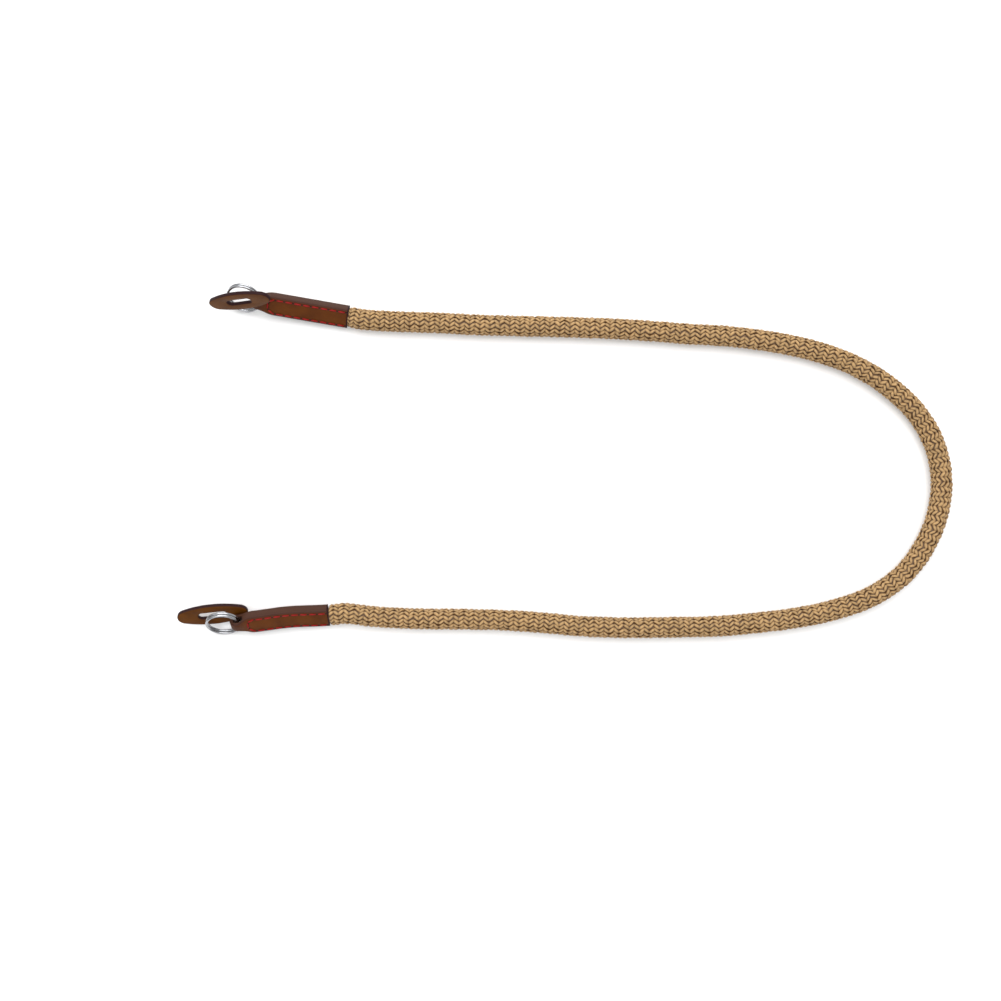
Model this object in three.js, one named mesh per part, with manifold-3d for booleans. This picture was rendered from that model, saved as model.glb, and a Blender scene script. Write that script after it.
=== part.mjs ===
// Camera shoulder strap: a braided rope with a stitched leather cover at each end. Each cover narrows
// to a loop that holds a split ring, and a slotted leather guard tab lies at each ring.
// Millimetres, +Z up. The strap lies on the surface z = 0, and the loop of rope opens towards -X.
import * as THREE from 'three';
import { mergeVertices } from 'three/addons/utils/BufferGeometryUtils.js';
import Module from 'manifold-3d';

const wasm = await Module();
wasm.setup();

// Rope
const ROPE_DIAMETER = 9.2;
const ROPE_SIDES = 12;
const ROPE_STEPS = 36;
const ROPE_LEAD = 8;
const MOUTH_GAP = 0.7;

// Centre line of the rope on the surface, from the upper end round the bend to the lower end
const ROPE_ROUTE = [
  [36.2, 61.5], [46.4, 60.1], [55.9, 59.5], [74.0, 58.9], [92.2, 58.0], [110.3, 57.5],
  [128.5, 57.1], [146.6, 56.5], [164.8, 55.5], [182.9, 54.1], [201.0, 53.0], [219.0, 50.7],
  [236.7, 47.0], [253.7, 41.0], [269.3, 31.6], [282.3, 19.0], [290.5, 2.9], [292.2, -15.0],
  [287.5, -32.6], [277.5, -48.0], [263.2, -58.7], [246.0, -65.0], [228.3, -68.7], [210.5, -70.9],
  [192.4, -72.3], [174.3, -72.6], [156.1, -72.8], [138.0, -72.2], [119.8, -70.6], [101.7, -69.5],
  [83.5, -69.1], [65.4, -68.9], [47.2, -68.0], [36.9, -67.5], [27.8, -67.3],
];

// Leather end cover
const COVER_LENGTH = 42.3;
const COVER_WIDTH = 9.1;
const COVER_THICKNESS = 5;
const LEATHER = 1.45;
const STITCH_MARGIN = 1.4;
const LOOP_WIDTH = 5;
const LOOP_THICKNESS = 5.9;
const NECK_LENGTH = 10;
const EDGE_RADIUS = 0.8;
const TONGUE_LENGTH = 24;
const COVER_ROLL = 40;

// Split ring: two turns of wire, with a short step from one turn to the other
const RING_DIAMETER = 14.9;
const WIRE_DIAMETER = 1.1;
const TURN_GAP = 0.1;
const STEP_ANGLE = 36;
const RING_STEPS = 64;
const WIRE_SIDES = 8;

// Guard tab
const TAB_LENGTH = 30;
const TAB_WIDTH = 11;
const TAB_THICKNESS = 1.8;
const TAB_END_RADIUS = 3.6;
const TAB_BEVEL = 0.35;
const SLOT_LENGTH = 12;
const SLOT_WIDTH = 3.4;

const CLEARANCE = 0.35;
const CORNER_SEGMENTS = 3;
const TIP_SEGMENTS = 5;
const ARC_SEGMENTS = 8;

// Sections of the cover's neck. along: share of the neck length from the tip. broad: 0 at the loop's
// width, 1 at the cover's width. flat: 0 at the loop's thickness, 1 at the cover's thickness.
// turn: share of the loop's own twist
const NECK_SECTIONS = [
  { along: 0.36, broad: 0, flat: 0, turn: 1 },
  { along: 0.5, broad: 0.3, flat: 0.5, turn: 0.9 },
  { along: 0.6, broad: 0.58, flat: 1.1, turn: 0.7 },
  { along: 0.7, broad: 0.81, flat: 1.45, turn: 0.45 },
  { along: 0.8, broad: 0.94, flat: 1.4, turn: 0.22 },
  { along: 0.9, broad: 0.99, flat: 1.15, turn: 0.07 },
  { along: 1, broad: 1, flat: 1, turn: 0 },
];

// How each end lies. mouth: end of the route. heading: turn about Z. tipRise: how much higher the tip
// lies than the mouth. loopTwist: the loop's turn past the cover's roll. ring and tab: offsets from the
// loop's bore and from the ring's centre, and turns about X, Y and Z, in degrees
const ENDS = [
  {
    side: 'upper',
    mouth: ROPE_ROUTE[0],
    heading: -9.5,
    tipRise: 2,
    loopTwist: 12,
    ring: { across: 0.34, up: 0.28, turn: [51.8, -1, 0] },
    tab: { along: -0.29, across: -2.17, up: 5.6, turn: [66, -24, 12] },
  },
  {
    side: 'lower',
    mouth: ROPE_ROUTE[ROPE_ROUTE.length - 1],
    heading: 4.7,
    tipRise: 2,
    loopTwist: 12,
    ring: { across: 0.34, up: 0.28, turn: [51.8, -1, 0] },
    tab: { along: -4.4, across: 4.25, up: -1.25, turn: [42, 5.3, 0.7] },
  },
];

const boreHeight = 2 * WIRE_DIAMETER + TURN_GAP + 2 * CLEARANCE + 0.1;
const boreWall = (LOOP_THICKNESS - boreHeight) / 2;
const boreLength = 4.4;
const boreCentre = -COVER_LENGTH + boreWall + boreLength / 2;
const ringRadius = (RING_DIAMETER - WIRE_DIAMETER) / 2;

const ropeMaterial = new THREE.MeshStandardMaterial({ color: 0xc8a673, roughness: 0.85 });
const leatherMaterial = new THREE.MeshStandardMaterial({ color: 0x6b3f20, roughness: 0.55 });
const tabMaterial = new THREE.MeshStandardMaterial({ color: 0x71451f, roughness: 0.55 });
const steelMaterial = new THREE.MeshStandardMaterial({ color: 0xc9cbd0, roughness: 0.25, metalness: 1 });

// A closed geometry as a solid, and back
function toSolid(geometry) {
  const bare = geometry.clone();
  bare.deleteAttribute('normal');
  bare.deleteAttribute('uv');
  const merged = mergeVertices(bare, 1e-4);
  const vertProperties = new Float32Array(merged.attributes.position.array);
  const triVerts = new Uint32Array(merged.index.array);
  return new wasm.Manifold(new wasm.Mesh({ numProp: 3, vertProperties, triVerts }));
}

function toGeometry(solid) {
  const mesh = solid.getMesh();
  const geometry = new THREE.BufferGeometry();
  geometry.setAttribute('position', new THREE.BufferAttribute(mesh.vertProperties, 3));
  geometry.setIndex(new THREE.BufferAttribute(mesh.triVerts, 1));
  return geometry;
}

function radians(turn) {
  return turn.map(THREE.MathUtils.degToRad);
}

// A rectangle with round corners, as points
function roundRect(width, height, radius) {
  const points = [];
  for (let corner = 0; corner < 4; corner += 1) {
    const cx = (corner === 0 || corner === 3 ? 1 : -1) * (width / 2 - radius);
    const cy = (corner < 2 ? 1 : -1) * (height / 2 - radius);
    for (let i = 0; i <= CORNER_SEGMENTS; i += 1) {
      const angle = (corner + i / CORNER_SEGMENTS) * (Math.PI / 2);
      points.push(new THREE.Vector2(cx + radius * Math.cos(angle), cy + radius * Math.sin(angle)));
    }
  }
  return points;
}

function circle(diameter, sides) {
  const points = [];
  for (let i = 0; i < sides; i += 1) {
    const angle = ((i + 0.5) / sides) * 2 * Math.PI;
    points.push(new THREE.Vector2((diameter / 2) * Math.cos(angle), (diameter / 2) * Math.sin(angle)));
  }
  return new THREE.Shape(points);
}

// A closed skin through sections with the same number of points, each run anticlockwise seen from +X
function loft(sections) {
  const count = sections[0].length;
  const last = sections.length - 1;
  const positions = sections.flat().flatMap((point) => point.toArray());
  const index = [];
  for (let s = 0; s < last; s += 1) {
    for (let i = 0; i < count; i += 1) {
      const a = s * count + i;
      const b = s * count + ((i + 1) % count);
      index.push(a, b, a + count, b, b + count, a + count);
    }
  }
  for (let i = 1; i < count - 1; i += 1) {
    index.push(0, i + 1, i);
    index.push(last * count, last * count + i, last * count + i + 1);
  }
  const geometry = new THREE.BufferGeometry();
  geometry.setAttribute('position', new THREE.Float32BufferAttribute(positions, 3));
  geometry.setIndex(index);
  return geometry;
}

// One section of the cover across its length, turned about that length
function coverSection(x, width, thickness, turn) {
  const radius = Math.min(EDGE_RADIUS, thickness * 0.45);
  const axis = new THREE.Vector3(1, 0, 0);
  return roundRect(width, thickness, radius).map(
    (point) => new THREE.Vector3(x, point.x, point.y).applyAxisAngle(axis, turn),
  );
}

// The cover's outer form: round tip, loop, neck and body, with the mouth at x = 0
function coverForm(twist) {
  const sections = [];
  const tipRadius = LOOP_THICKNESS / 2;
  for (let i = 1; i <= TIP_SEGMENTS; i += 1) {
    const angle = (i / TIP_SEGMENTS) * (Math.PI / 2);
    const x = -COVER_LENGTH + tipRadius * (1 - Math.cos(angle));
    const width = LOOP_WIDTH - EDGE_RADIUS * Math.cos(angle);
    sections.push(coverSection(x, width, LOOP_THICKNESS * Math.sin(angle), twist));
  }
  for (const row of NECK_SECTIONS) {
    const width = THREE.MathUtils.lerp(LOOP_WIDTH, COVER_WIDTH, row.broad);
    const thickness = THREE.MathUtils.lerp(LOOP_THICKNESS, COVER_THICKNESS, row.flat);
    sections.push(coverSection(-COVER_LENGTH + row.along * NECK_LENGTH, width, thickness, row.turn * twist));
  }
  sections.push(coverSection(0, COVER_WIDTH, COVER_THICKNESS, 0));
  return toSolid(loft(sections));
}

// A straight bar with a rounded section along X
function bar(from, to, width, thickness) {
  const radius = thickness * 0.45;
  const sections = [from, to].map((x) =>
    roundRect(width, thickness, radius).map((point) => new THREE.Vector3(x, point.x, point.y)),
  );
  return loft(sections);
}

// The bore through the loop: an oblong hole along the loop's width
function loopBore(twist) {
  const half = boreLength / 2 - boreHeight / 2;
  const shape = new THREE.Shape();
  shape.absarc(half, 0, boreHeight / 2, -Math.PI / 2, Math.PI / 2, false);
  shape.absarc(-half, 0, boreHeight / 2, Math.PI / 2, (3 * Math.PI) / 2, false);
  const depth = 2 * COVER_WIDTH;
  const geometry = new THREE.ExtrudeGeometry(shape, {
    depth,
    bevelEnabled: false,
    curveSegments: ARC_SEGMENTS,
  });
  geometry.translate(0, 0, -depth / 2);
  geometry.rotateX(Math.PI / 2);
  geometry.rotateX(twist);
  geometry.translate(boreCentre, 0, 0);
  return toSolid(geometry);
}

// Leather end cover: hollow from the mouth for the rope's tongue, and bored at the loop for the ring
function endCover(end) {
  const twist = THREE.MathUtils.degToRad(end.loopTwist);
  const hollow = bar(
    -TONGUE_LENGTH - CLEARANCE,
    CLEARANCE,
    COVER_WIDTH - 2 * STITCH_MARGIN,
    COVER_THICKNESS - 2 * LEATHER,
  );
  const solid = coverForm(twist).subtract(loopBore(twist)).subtract(toSolid(hollow));
  const mesh = new THREE.Mesh(toGeometry(solid), leatherMaterial);
  mesh.name = `end_cover_${end.side}`;
  return mesh;
}

// Centre line of the ring's wire: two flat turns joined by a short step
class CoilCurve extends THREE.Curve {
  getPoint(t, target = new THREE.Vector3()) {
    const step = THREE.MathUtils.degToRad(STEP_ANGLE);
    const turned = t * (4 * Math.PI - 1.15 * step);
    const rise = THREE.MathUtils.smoothstep(turned, 2 * Math.PI - step, 2 * Math.PI) - 0.5;
    const z = rise * (WIRE_DIAMETER + TURN_GAP);
    return target.set(ringRadius * Math.cos(turned), ringRadius * Math.sin(turned), z);
  }
}

function splitRing(end) {
  const geometry = new THREE.ExtrudeGeometry(circle(WIRE_DIAMETER, WIRE_SIDES), {
    steps: RING_STEPS,
    bevelEnabled: false,
    extrudePath: new CoilCurve(),
  });
  const mesh = new THREE.Mesh(geometry, steelMaterial);
  mesh.name = `split_ring_${end.side}`;
  return mesh;
}

// Oval outline of the guard tab: two end arcs joined by two long flat arcs
function tabShape() {
  const inset = TAB_BEVEL;
  const halfLength = TAB_LENGTH / 2 - inset;
  const halfWidth = TAB_WIDTH / 2 - inset;
  const endRadius = TAB_END_RADIUS - inset;
  const reach = halfLength - endRadius;
  const sideRadius = (reach ** 2 + halfWidth ** 2 - endRadius ** 2) / (2 * (halfWidth - endRadius));
  const spread = Math.atan2(reach, sideRadius - halfWidth);
  const top = Math.PI / 2;
  const shape = new THREE.Shape();
  shape.absarc(0, halfWidth - sideRadius, sideRadius, top - spread, top + spread, false);
  shape.absarc(-reach, 0, endRadius, top + spread, 3 * top - spread, false);
  shape.absarc(0, sideRadius - halfWidth, sideRadius, 3 * top - spread, 3 * top + spread, false);
  shape.absarc(reach, 0, endRadius, 3 * top + spread, 5 * top - spread, false);
  return shape;
}

function slotPath() {
  const radius = SLOT_WIDTH / 2 + TAB_BEVEL;
  const half = SLOT_LENGTH / 2 - SLOT_WIDTH / 2;
  const path = new THREE.Path();
  path.absarc(half, 0, radius, -Math.PI / 2, Math.PI / 2, false);
  path.absarc(-half, 0, radius, Math.PI / 2, (3 * Math.PI) / 2, false);
  return path;
}

function guardTab(end) {
  const shape = tabShape();
  shape.holes.push(slotPath());
  const geometry = new THREE.ExtrudeGeometry(shape, {
    depth: TAB_THICKNESS - 2 * TAB_BEVEL,
    bevelThickness: TAB_BEVEL,
    bevelSize: TAB_BEVEL,
    bevelSegments: 1,
    curveSegments: ARC_SEGMENTS,
  });
  geometry.translate(0, 0, TAB_BEVEL - TAB_THICKNESS / 2);
  const mesh = new THREE.Mesh(geometry, tabMaterial);
  mesh.name = `guard_tab_${end.side}`;
  return mesh;
}

// One whole end, with its origin at the cover's mouth, lying on the surface
function strapEnd(end) {
  const group = new THREE.Group();
  const pitch = THREE.MathUtils.radToDeg(Math.asin(end.tipRise / COVER_LENGTH));
  const cover = endCover(end);
  cover.rotation.set(...radians([COVER_ROLL, pitch, 0]), 'ZYX');
  group.add(cover);

  const bore = new THREE.Vector3(boreCentre, 0, 0).applyEuler(cover.rotation);
  const ring = splitRing(end);
  ring.rotation.set(...radians(end.ring.turn), 'ZYX');
  ring.position.copy(bore).add(new THREE.Vector3(0.2 - ringRadius, end.ring.across, end.ring.up));
  group.add(ring);

  const tab = guardTab(end);
  tab.rotation.set(...radians(end.tab.turn), 'ZYX');
  tab.position.copy(ring.position).add(new THREE.Vector3(end.tab.along, end.tab.across, end.tab.up));
  group.add(tab);

  group.rotation.z = THREE.MathUtils.degToRad(end.heading);
  group.position.set(end.mouth[0], end.mouth[1], 0);
  group.position.z = -new THREE.Box3().setFromObject(group, true).min.z;
  group.updateMatrixWorld(true);
  return group;
}

// The rope: a tube along its route, with a flattened tongue in each cover
function braidedRope(ends) {
  const covers = ends.map((group) => group.children[0]);
  const leads = covers.map((cover) => [
    new THREE.Vector3(MOUTH_GAP, 0, 0).applyMatrix4(cover.matrixWorld),
    new THREE.Vector3(ROPE_LEAD, 0, 0).applyMatrix4(cover.matrixWorld).setZ(ROPE_DIAMETER / 2),
  ]);
  const lying = ROPE_ROUTE.slice(2, -2).map(([x, y]) => new THREE.Vector3(x, y, ROPE_DIAMETER / 2));
  const route = new THREE.CatmullRomCurve3([...leads[0], ...lying, ...leads[1].reverse()]);
  const tube = new THREE.ExtrudeGeometry(circle(ROPE_DIAMETER, ROPE_SIDES), {
    steps: ROPE_STEPS,
    bevelEnabled: false,
    extrudePath: route,
  });
  let solid = toSolid(tube);
  for (const cover of covers) {
    const tongue = bar(
      -TONGUE_LENGTH,
      2 * MOUTH_GAP,
      COVER_WIDTH - 2 * STITCH_MARGIN - 2 * CLEARANCE,
      COVER_THICKNESS - 2 * LEATHER - 2 * CLEARANCE,
    );
    solid = solid.add(toSolid(tongue.applyMatrix4(cover.matrixWorld)));
  }
  const mesh = new THREE.Mesh(toGeometry(solid), ropeMaterial);
  mesh.name = 'braided_rope';
  return mesh;
}

const ends = ENDS.map(strapEnd);
const strap = new THREE.Group();
strap.add(braidedRope(ends), ...ends);

// The origin lies on the surface, under the middle of the two ends' common box
const box = new THREE.Box3();
ends.forEach((group) => box.expandByObject(group, true));
const middle = box.getCenter(new THREE.Vector3());
strap.position.set(-middle.x, -middle.y, -box.min.z);

export default strap;
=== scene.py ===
import math

import bpy
import numpy as np
from mathutils import Euler, Matrix, Vector
from mathutils.bvhtree import BVHTree


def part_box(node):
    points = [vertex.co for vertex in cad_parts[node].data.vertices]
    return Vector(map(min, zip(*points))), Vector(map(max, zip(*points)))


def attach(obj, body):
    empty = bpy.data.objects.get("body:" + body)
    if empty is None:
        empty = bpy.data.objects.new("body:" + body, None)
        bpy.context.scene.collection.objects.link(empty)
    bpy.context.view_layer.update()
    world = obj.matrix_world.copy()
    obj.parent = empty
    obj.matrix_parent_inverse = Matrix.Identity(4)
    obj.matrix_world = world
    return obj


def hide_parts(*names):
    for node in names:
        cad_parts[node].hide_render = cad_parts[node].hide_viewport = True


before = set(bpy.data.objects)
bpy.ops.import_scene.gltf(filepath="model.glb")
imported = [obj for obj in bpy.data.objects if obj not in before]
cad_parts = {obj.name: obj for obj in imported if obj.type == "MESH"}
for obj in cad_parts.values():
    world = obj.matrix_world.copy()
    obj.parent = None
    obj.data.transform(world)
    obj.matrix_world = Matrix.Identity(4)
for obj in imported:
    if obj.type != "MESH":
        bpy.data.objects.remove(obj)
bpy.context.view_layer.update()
bpy.ops.object.select_all(action="DESELECT")

# View, table and light. The strap lies on a plain white table and is seen from straight above, from
# half a metre up. The light is soft: a wide panel past the far side of the strap, a fill and a pale sky.
EYE = (0.10193, -0.01721, 0.5)
FIELD = 0.4364
SENSOR = 36
TABLE_SIZE = 8
TABLE_WHITE = (0.88, 0.88, 0.88, 1)
KEY_PLACE = (0.08, 0.6, 0.9)
KEY_SIZE = 1.3
KEY_POWER = 15
FILL_PLACE = (-0.35, -0.5, 0.9)
FILL_SIZE = 0.8
FILL_POWER = 3
SKY_AT_HORIZON = 0.3
SKY_OVERHEAD = 1.1

camera_data = bpy.data.cameras.new("camera")
camera_data.sensor_width = SENSOR
camera_data.lens = SENSOR * EYE[2] / FIELD
camera = bpy.data.objects.new("camera", camera_data)
camera.location = EYE
bpy.context.scene.collection.objects.link(camera)
bpy.context.scene.camera = camera
bpy.context.scene.view_settings.view_transform = "Standard"

for name, place, size, power in (
    ("key_light", KEY_PLACE, KEY_SIZE, KEY_POWER),
    ("fill_light", FILL_PLACE, FILL_SIZE, FILL_POWER),
):
    light_data = bpy.data.lights.new(name, "AREA")
    light_data.size = size
    light_data.energy = power
    light = bpy.data.objects.new(name, light_data)
    light.location = place
    aim = Vector((EYE[0], EYE[1], 0)) - light.location
    light.rotation_euler = aim.to_track_quat("-Z", "Y").to_euler()
    bpy.context.scene.collection.objects.link(light)

sky = bpy.data.worlds.new("sky")
sky.use_nodes = True
direction, height, rise = (
    sky.node_tree.nodes.new("ShaderNode" + kind) for kind in ("TexCoord", "SeparateXYZ", "MapRange")
)
rise.inputs["To Min"].default_value = SKY_AT_HORIZON
rise.inputs["To Max"].default_value = SKY_OVERHEAD
sky.node_tree.links.new(direction.outputs["Generated"], height.inputs["Vector"])
sky.node_tree.links.new(height.outputs["Z"], rise.inputs["Value"])
sky.node_tree.nodes["Background"].inputs["Color"].default_value = (1, 1, 1, 1)
sky.node_tree.links.new(rise.outputs["Result"], sky.node_tree.nodes["Background"].inputs["Strength"])
bpy.context.scene.world = sky


def add_nodes(material, *kinds):
    """New shader nodes of these kinds, with the material's surface shader last."""
    material.use_nodes = True
    made = [material.node_tree.nodes.new("ShaderNode" + kind) for kind in kinds]
    return made + [material.node_tree.nodes["Principled BSDF"]]


bpy.ops.mesh.primitive_plane_add(size=TABLE_SIZE, location=(EYE[0], EYE[1], 0))
table = bpy.context.object
table.name = "table"
white = bpy.data.materials.new("white_board")
(board,) = add_nodes(white)
board.inputs["Base Color"].default_value = TABLE_WHITE
board.inputs["Roughness"].default_value = 0.9
board.inputs["Specular IOR Level"].default_value = 0.15
table.data.materials.append(white)
bpy.ops.object.select_all(action="DESELECT")

# The line that the strap lies along, and its two ends. The route runs on the table from the upper
# cover's mouth round the bend to the lower cover's mouth. Each leather cover points back from its
# mouth, turned about Z by its heading, and is rolled over on its edge.
ROPE_ROUTE = [
    (0.0362, 0.0615), (0.0464, 0.0601), (0.0559, 0.0595), (0.0740, 0.0589), (0.0922, 0.0580),
    (0.1103, 0.0575), (0.1285, 0.0571), (0.1466, 0.0565), (0.1648, 0.0555), (0.1829, 0.0541),
    (0.2010, 0.0530), (0.2190, 0.0507), (0.2367, 0.0470), (0.2537, 0.0410), (0.2693, 0.0316),
    (0.2823, 0.0190), (0.2905, 0.0029), (0.2922, -0.0150), (0.2875, -0.0326), (0.2775, -0.0480),
    (0.2632, -0.0587), (0.2460, -0.0650), (0.2283, -0.0687), (0.2105, -0.0709), (0.1924, -0.0723),
    (0.1743, -0.0726), (0.1561, -0.0728), (0.1380, -0.0722), (0.1198, -0.0706), (0.1017, -0.0695),
    (0.0835, -0.0691), (0.0654, -0.0689), (0.0472, -0.0680), (0.0369, -0.0675), (0.0278, -0.0673),
]
ROUTE_SHIFT = (0.000033, 0.000628)
MOUTH_HEIGHT = 0.004496
COVER_LENGTH = 0.0423
COVER_ROLL = 40
TIP_RISE = 0.002
LOOP_TWIST = 12
route = [(x + ROUTE_SHIFT[0], y + ROUTE_SHIFT[1]) for x, y in ROPE_ROUTE]
ENDS = {
    "upper": {"mouth": (*route[0], MOUTH_HEIGHT), "heading": -9.5, "bow": 0},
    "lower": {"mouth": (*route[-1], MOUTH_HEIGHT), "heading": 4.7, "bow": 0.0009},
}


def turned(about_x, about_y, about_z):
    """A turn about X, then Y, then Z, in degrees, as a 4x4 matrix."""
    return Euler([math.radians(a) for a in (about_x, about_y, about_z)], "XYZ").to_matrix().to_4x4()


def cover_place(end):
    """Where an end cover lies. In its own frame the mouth is at x = 0 and the loop's tip behind it."""
    pitch = math.degrees(math.asin(TIP_RISE / COVER_LENGTH))
    return Matrix.Translation(end["mouth"]) @ turned(COVER_ROLL, pitch, end["heading"])


# Rope. A round cord of plaited cotton yarn, about 9 mm thick. Two sets of strands run round it in
# opposite turns, and each passes over two and under two, so the passes stand in slanting bands that
# change direction all along the rope. It is squeezed flat where it goes into each leather cover.
ROPE_DIAMETER = 0.0092
ROPE_LEAD = 0.008
MOUTH_GAP = 0.0007
TONGUE_REACH = 0.006
TONGUE_WIDTH = 0.0060
TONGUE_THICKNESS = 0.0018
SQUEEZE_LENGTH = 0.003
SQUEEZE_POWER = 4
SPAN_STEPS = 24

STRANDS = 14
BAND_LENGTH = 0.00215
PASS_OVERLAP = 1.34
STRAND_HALF_WIDTH = 0.00068
STRAND_HALF_HEIGHT = 0.00056
STRAND_DIP = 0.00075
DIP_POWER = 2.2
TAPER_POWER = 3
PASS_STATIONS = (-0.86, -0.45, 0.0, 0.45, 0.86)
SECTION_ANGLES = (0, 45, 90, 135, 180, 270)
CORE_RADIUS = 0.0035
CORE_SIDES = 16
CORE_STEP = 0.0022
ROPE_SEED = 7

# The plait is uneven: how far a pass strays along, round and out of the rope, in width and in lean.
STRAY_ALONG = 0.00010
STRAY_ROUND = 0.028
STRAY_OUTWARD = 0.00008
STRAY_DEPTHS = (-1.5, 1)
STRAY_WIDTH = 0.08
STRAY_LEAN = 0.12
FIBRE_LENGTH = 1.8
FIBRE_SPREAD = 40

YARN_LIGHT = (0.40, 0.252, 0.112, 1)
# Painted shade: the yarn's colour in the creases, down the sides of each pass and where it dips under the
# next.
YARN_CREASE_SHADE = (0.125, 0.054, 0.012, 1)
# Painted shade: the dark brown of the filling stands in for the shade deep in the gaps of the plait.
CORE_SHADE_BROWN = (0.11, 0.048, 0.010, 1)


def smooth_route(points):
    """The curve through the points, as many close points in order, in metres."""
    p = np.array(points)
    p = np.vstack([2 * p[0] - p[1], p, 2 * p[-1] - p[-2]])
    gap = np.sqrt(np.linalg.norm(np.diff(p, axis=0), axis=1))[:, None]
    t = np.linspace(0, 1, SPAN_STEPS, endpoint=False)[:, None]
    line = []
    for i in range(1, len(p) - 2):
        before, here, after = gap[i - 1], gap[i], gap[i + 1]
        leave = (p[i] - p[i - 1]) / before - (p[i + 1] - p[i - 1]) / (before + here)
        leave = (leave + (p[i + 1] - p[i]) / here) * here
        arrive = (p[i + 1] - p[i]) / here - (p[i + 2] - p[i]) / (here + after)
        arrive = (arrive + (p[i + 2] - p[i + 1]) / after) * here
        chord = p[i + 1] - p[i]
        square = 3 * chord - 2 * leave - arrive
        cube = leave + arrive - 2 * chord
        line.append(p[i] + t * leave + t**2 * square + t**3 * cube)
    return np.vstack(line + [p[-2:-1]])


def lead(end, distance, height=None):
    """A point on the cover's axis, that far out of its mouth."""
    point = cover_place(end) @ Vector((distance, 0, 0))
    return (point.x, point.y, point.z if height is None else height)


rest_height = ROPE_DIAMETER / 2
first, last = ENDS["upper"], ENDS["lower"]
centre_line = smooth_route(
    [lead(first, -TONGUE_REACH), lead(first, MOUTH_GAP), lead(first, ROPE_LEAD, rest_height)]
    + [(x, y, rest_height) for x, y in route[2:-2]]
    + [lead(last, ROPE_LEAD, rest_height), lead(last, MOUTH_GAP), lead(last, -TONGUE_REACH)]
)
steps = np.linalg.norm(np.diff(centre_line, axis=0), axis=1)
travel = np.concatenate([[0], np.cumsum(steps)])
rope_length = travel[-1]
ahead = np.gradient(centre_line, travel, axis=0)
ahead /= np.linalg.norm(ahead, axis=1)[:, None]


def along(table_of_rows, distance):
    """Rows of a table kept for each point of the centre line, read at these distances along it."""
    return np.stack([np.interp(distance, travel, column) for column in table_of_rows.T], axis=-1)


def rope_point(distance, angle, radius):
    """Points round the rope: how far along, the angle from its side, and how far from the centre line."""
    tangent = along(ahead, distance)
    side = np.stack([-tangent[..., 1], tangent[..., 0], np.zeros_like(distance)], axis=-1)
    side /= np.linalg.norm(side, axis=-1)[..., None]
    up = np.cross(tangent, side)
    offset = (np.cos(angle) * radius)[..., None] * side + (np.sin(angle) * radius)[..., None] * up
    to_last = rope_length - TONGUE_REACH - distance
    for end, from_mouth in ((first, distance - TONGUE_REACH), (last, to_last)):
        squeeze = 1 - np.clip(from_mouth / SQUEEZE_LENGTH, 0, 1)
        fill = ((1 - squeeze**SQUEEZE_POWER) ** (1 / SQUEEZE_POWER))[..., None]
        axes = np.array(cover_place(end).to_3x3())
        for axis, size in ((axes[:, 1], TONGUE_WIDTH), (axes[:, 2], TONGUE_THICKNESS)):
            keep = size / ROPE_DIAMETER + (1 - size / ROPE_DIAMETER) * fill
            offset = offset - (1 - keep) * (offset @ axis)[..., None] * axis
    return along(centre_line, distance) + offset


def new_object(name, points, faces):
    """A mesh object of these points and faces, both as arrays or lists."""
    mesh = bpy.data.meshes.new(name)
    mesh.from_pydata([tuple(p) for p in points], [], faces)
    made = bpy.data.objects.new(name, mesh)
    bpy.context.scene.collection.objects.link(made)
    return made


def core_tube():
    """The filling that shows only in the gaps of the plait, closed at both ends. Its dark brown is painted
    shade for the deep gaps.
    """
    stations = np.linspace(0, rope_length, round(rope_length / CORE_STEP))
    angles = np.arange(CORE_SIDES) * 2 * math.pi / CORE_SIDES
    s, a = np.meshgrid(stations, angles, indexing="ij")
    points = rope_point(s, a, np.full_like(s, CORE_RADIUS)).reshape(-1, 3)
    faces = []
    for ring in range(len(stations) - 1):
        for i in range(CORE_SIDES):
            j = (i + 1) % CORE_SIDES
            low, high = ring * CORE_SIDES, (ring + 1) * CORE_SIDES
            faces.append((low + i, high + i, high + j, low + j))
    faces.append(tuple(range(CORE_SIDES)))
    faces.append(tuple(reversed(range(len(points) - CORE_SIDES, len(points)))))
    return new_object("rope_core", points, faces), along(centre_line, stations)


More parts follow.
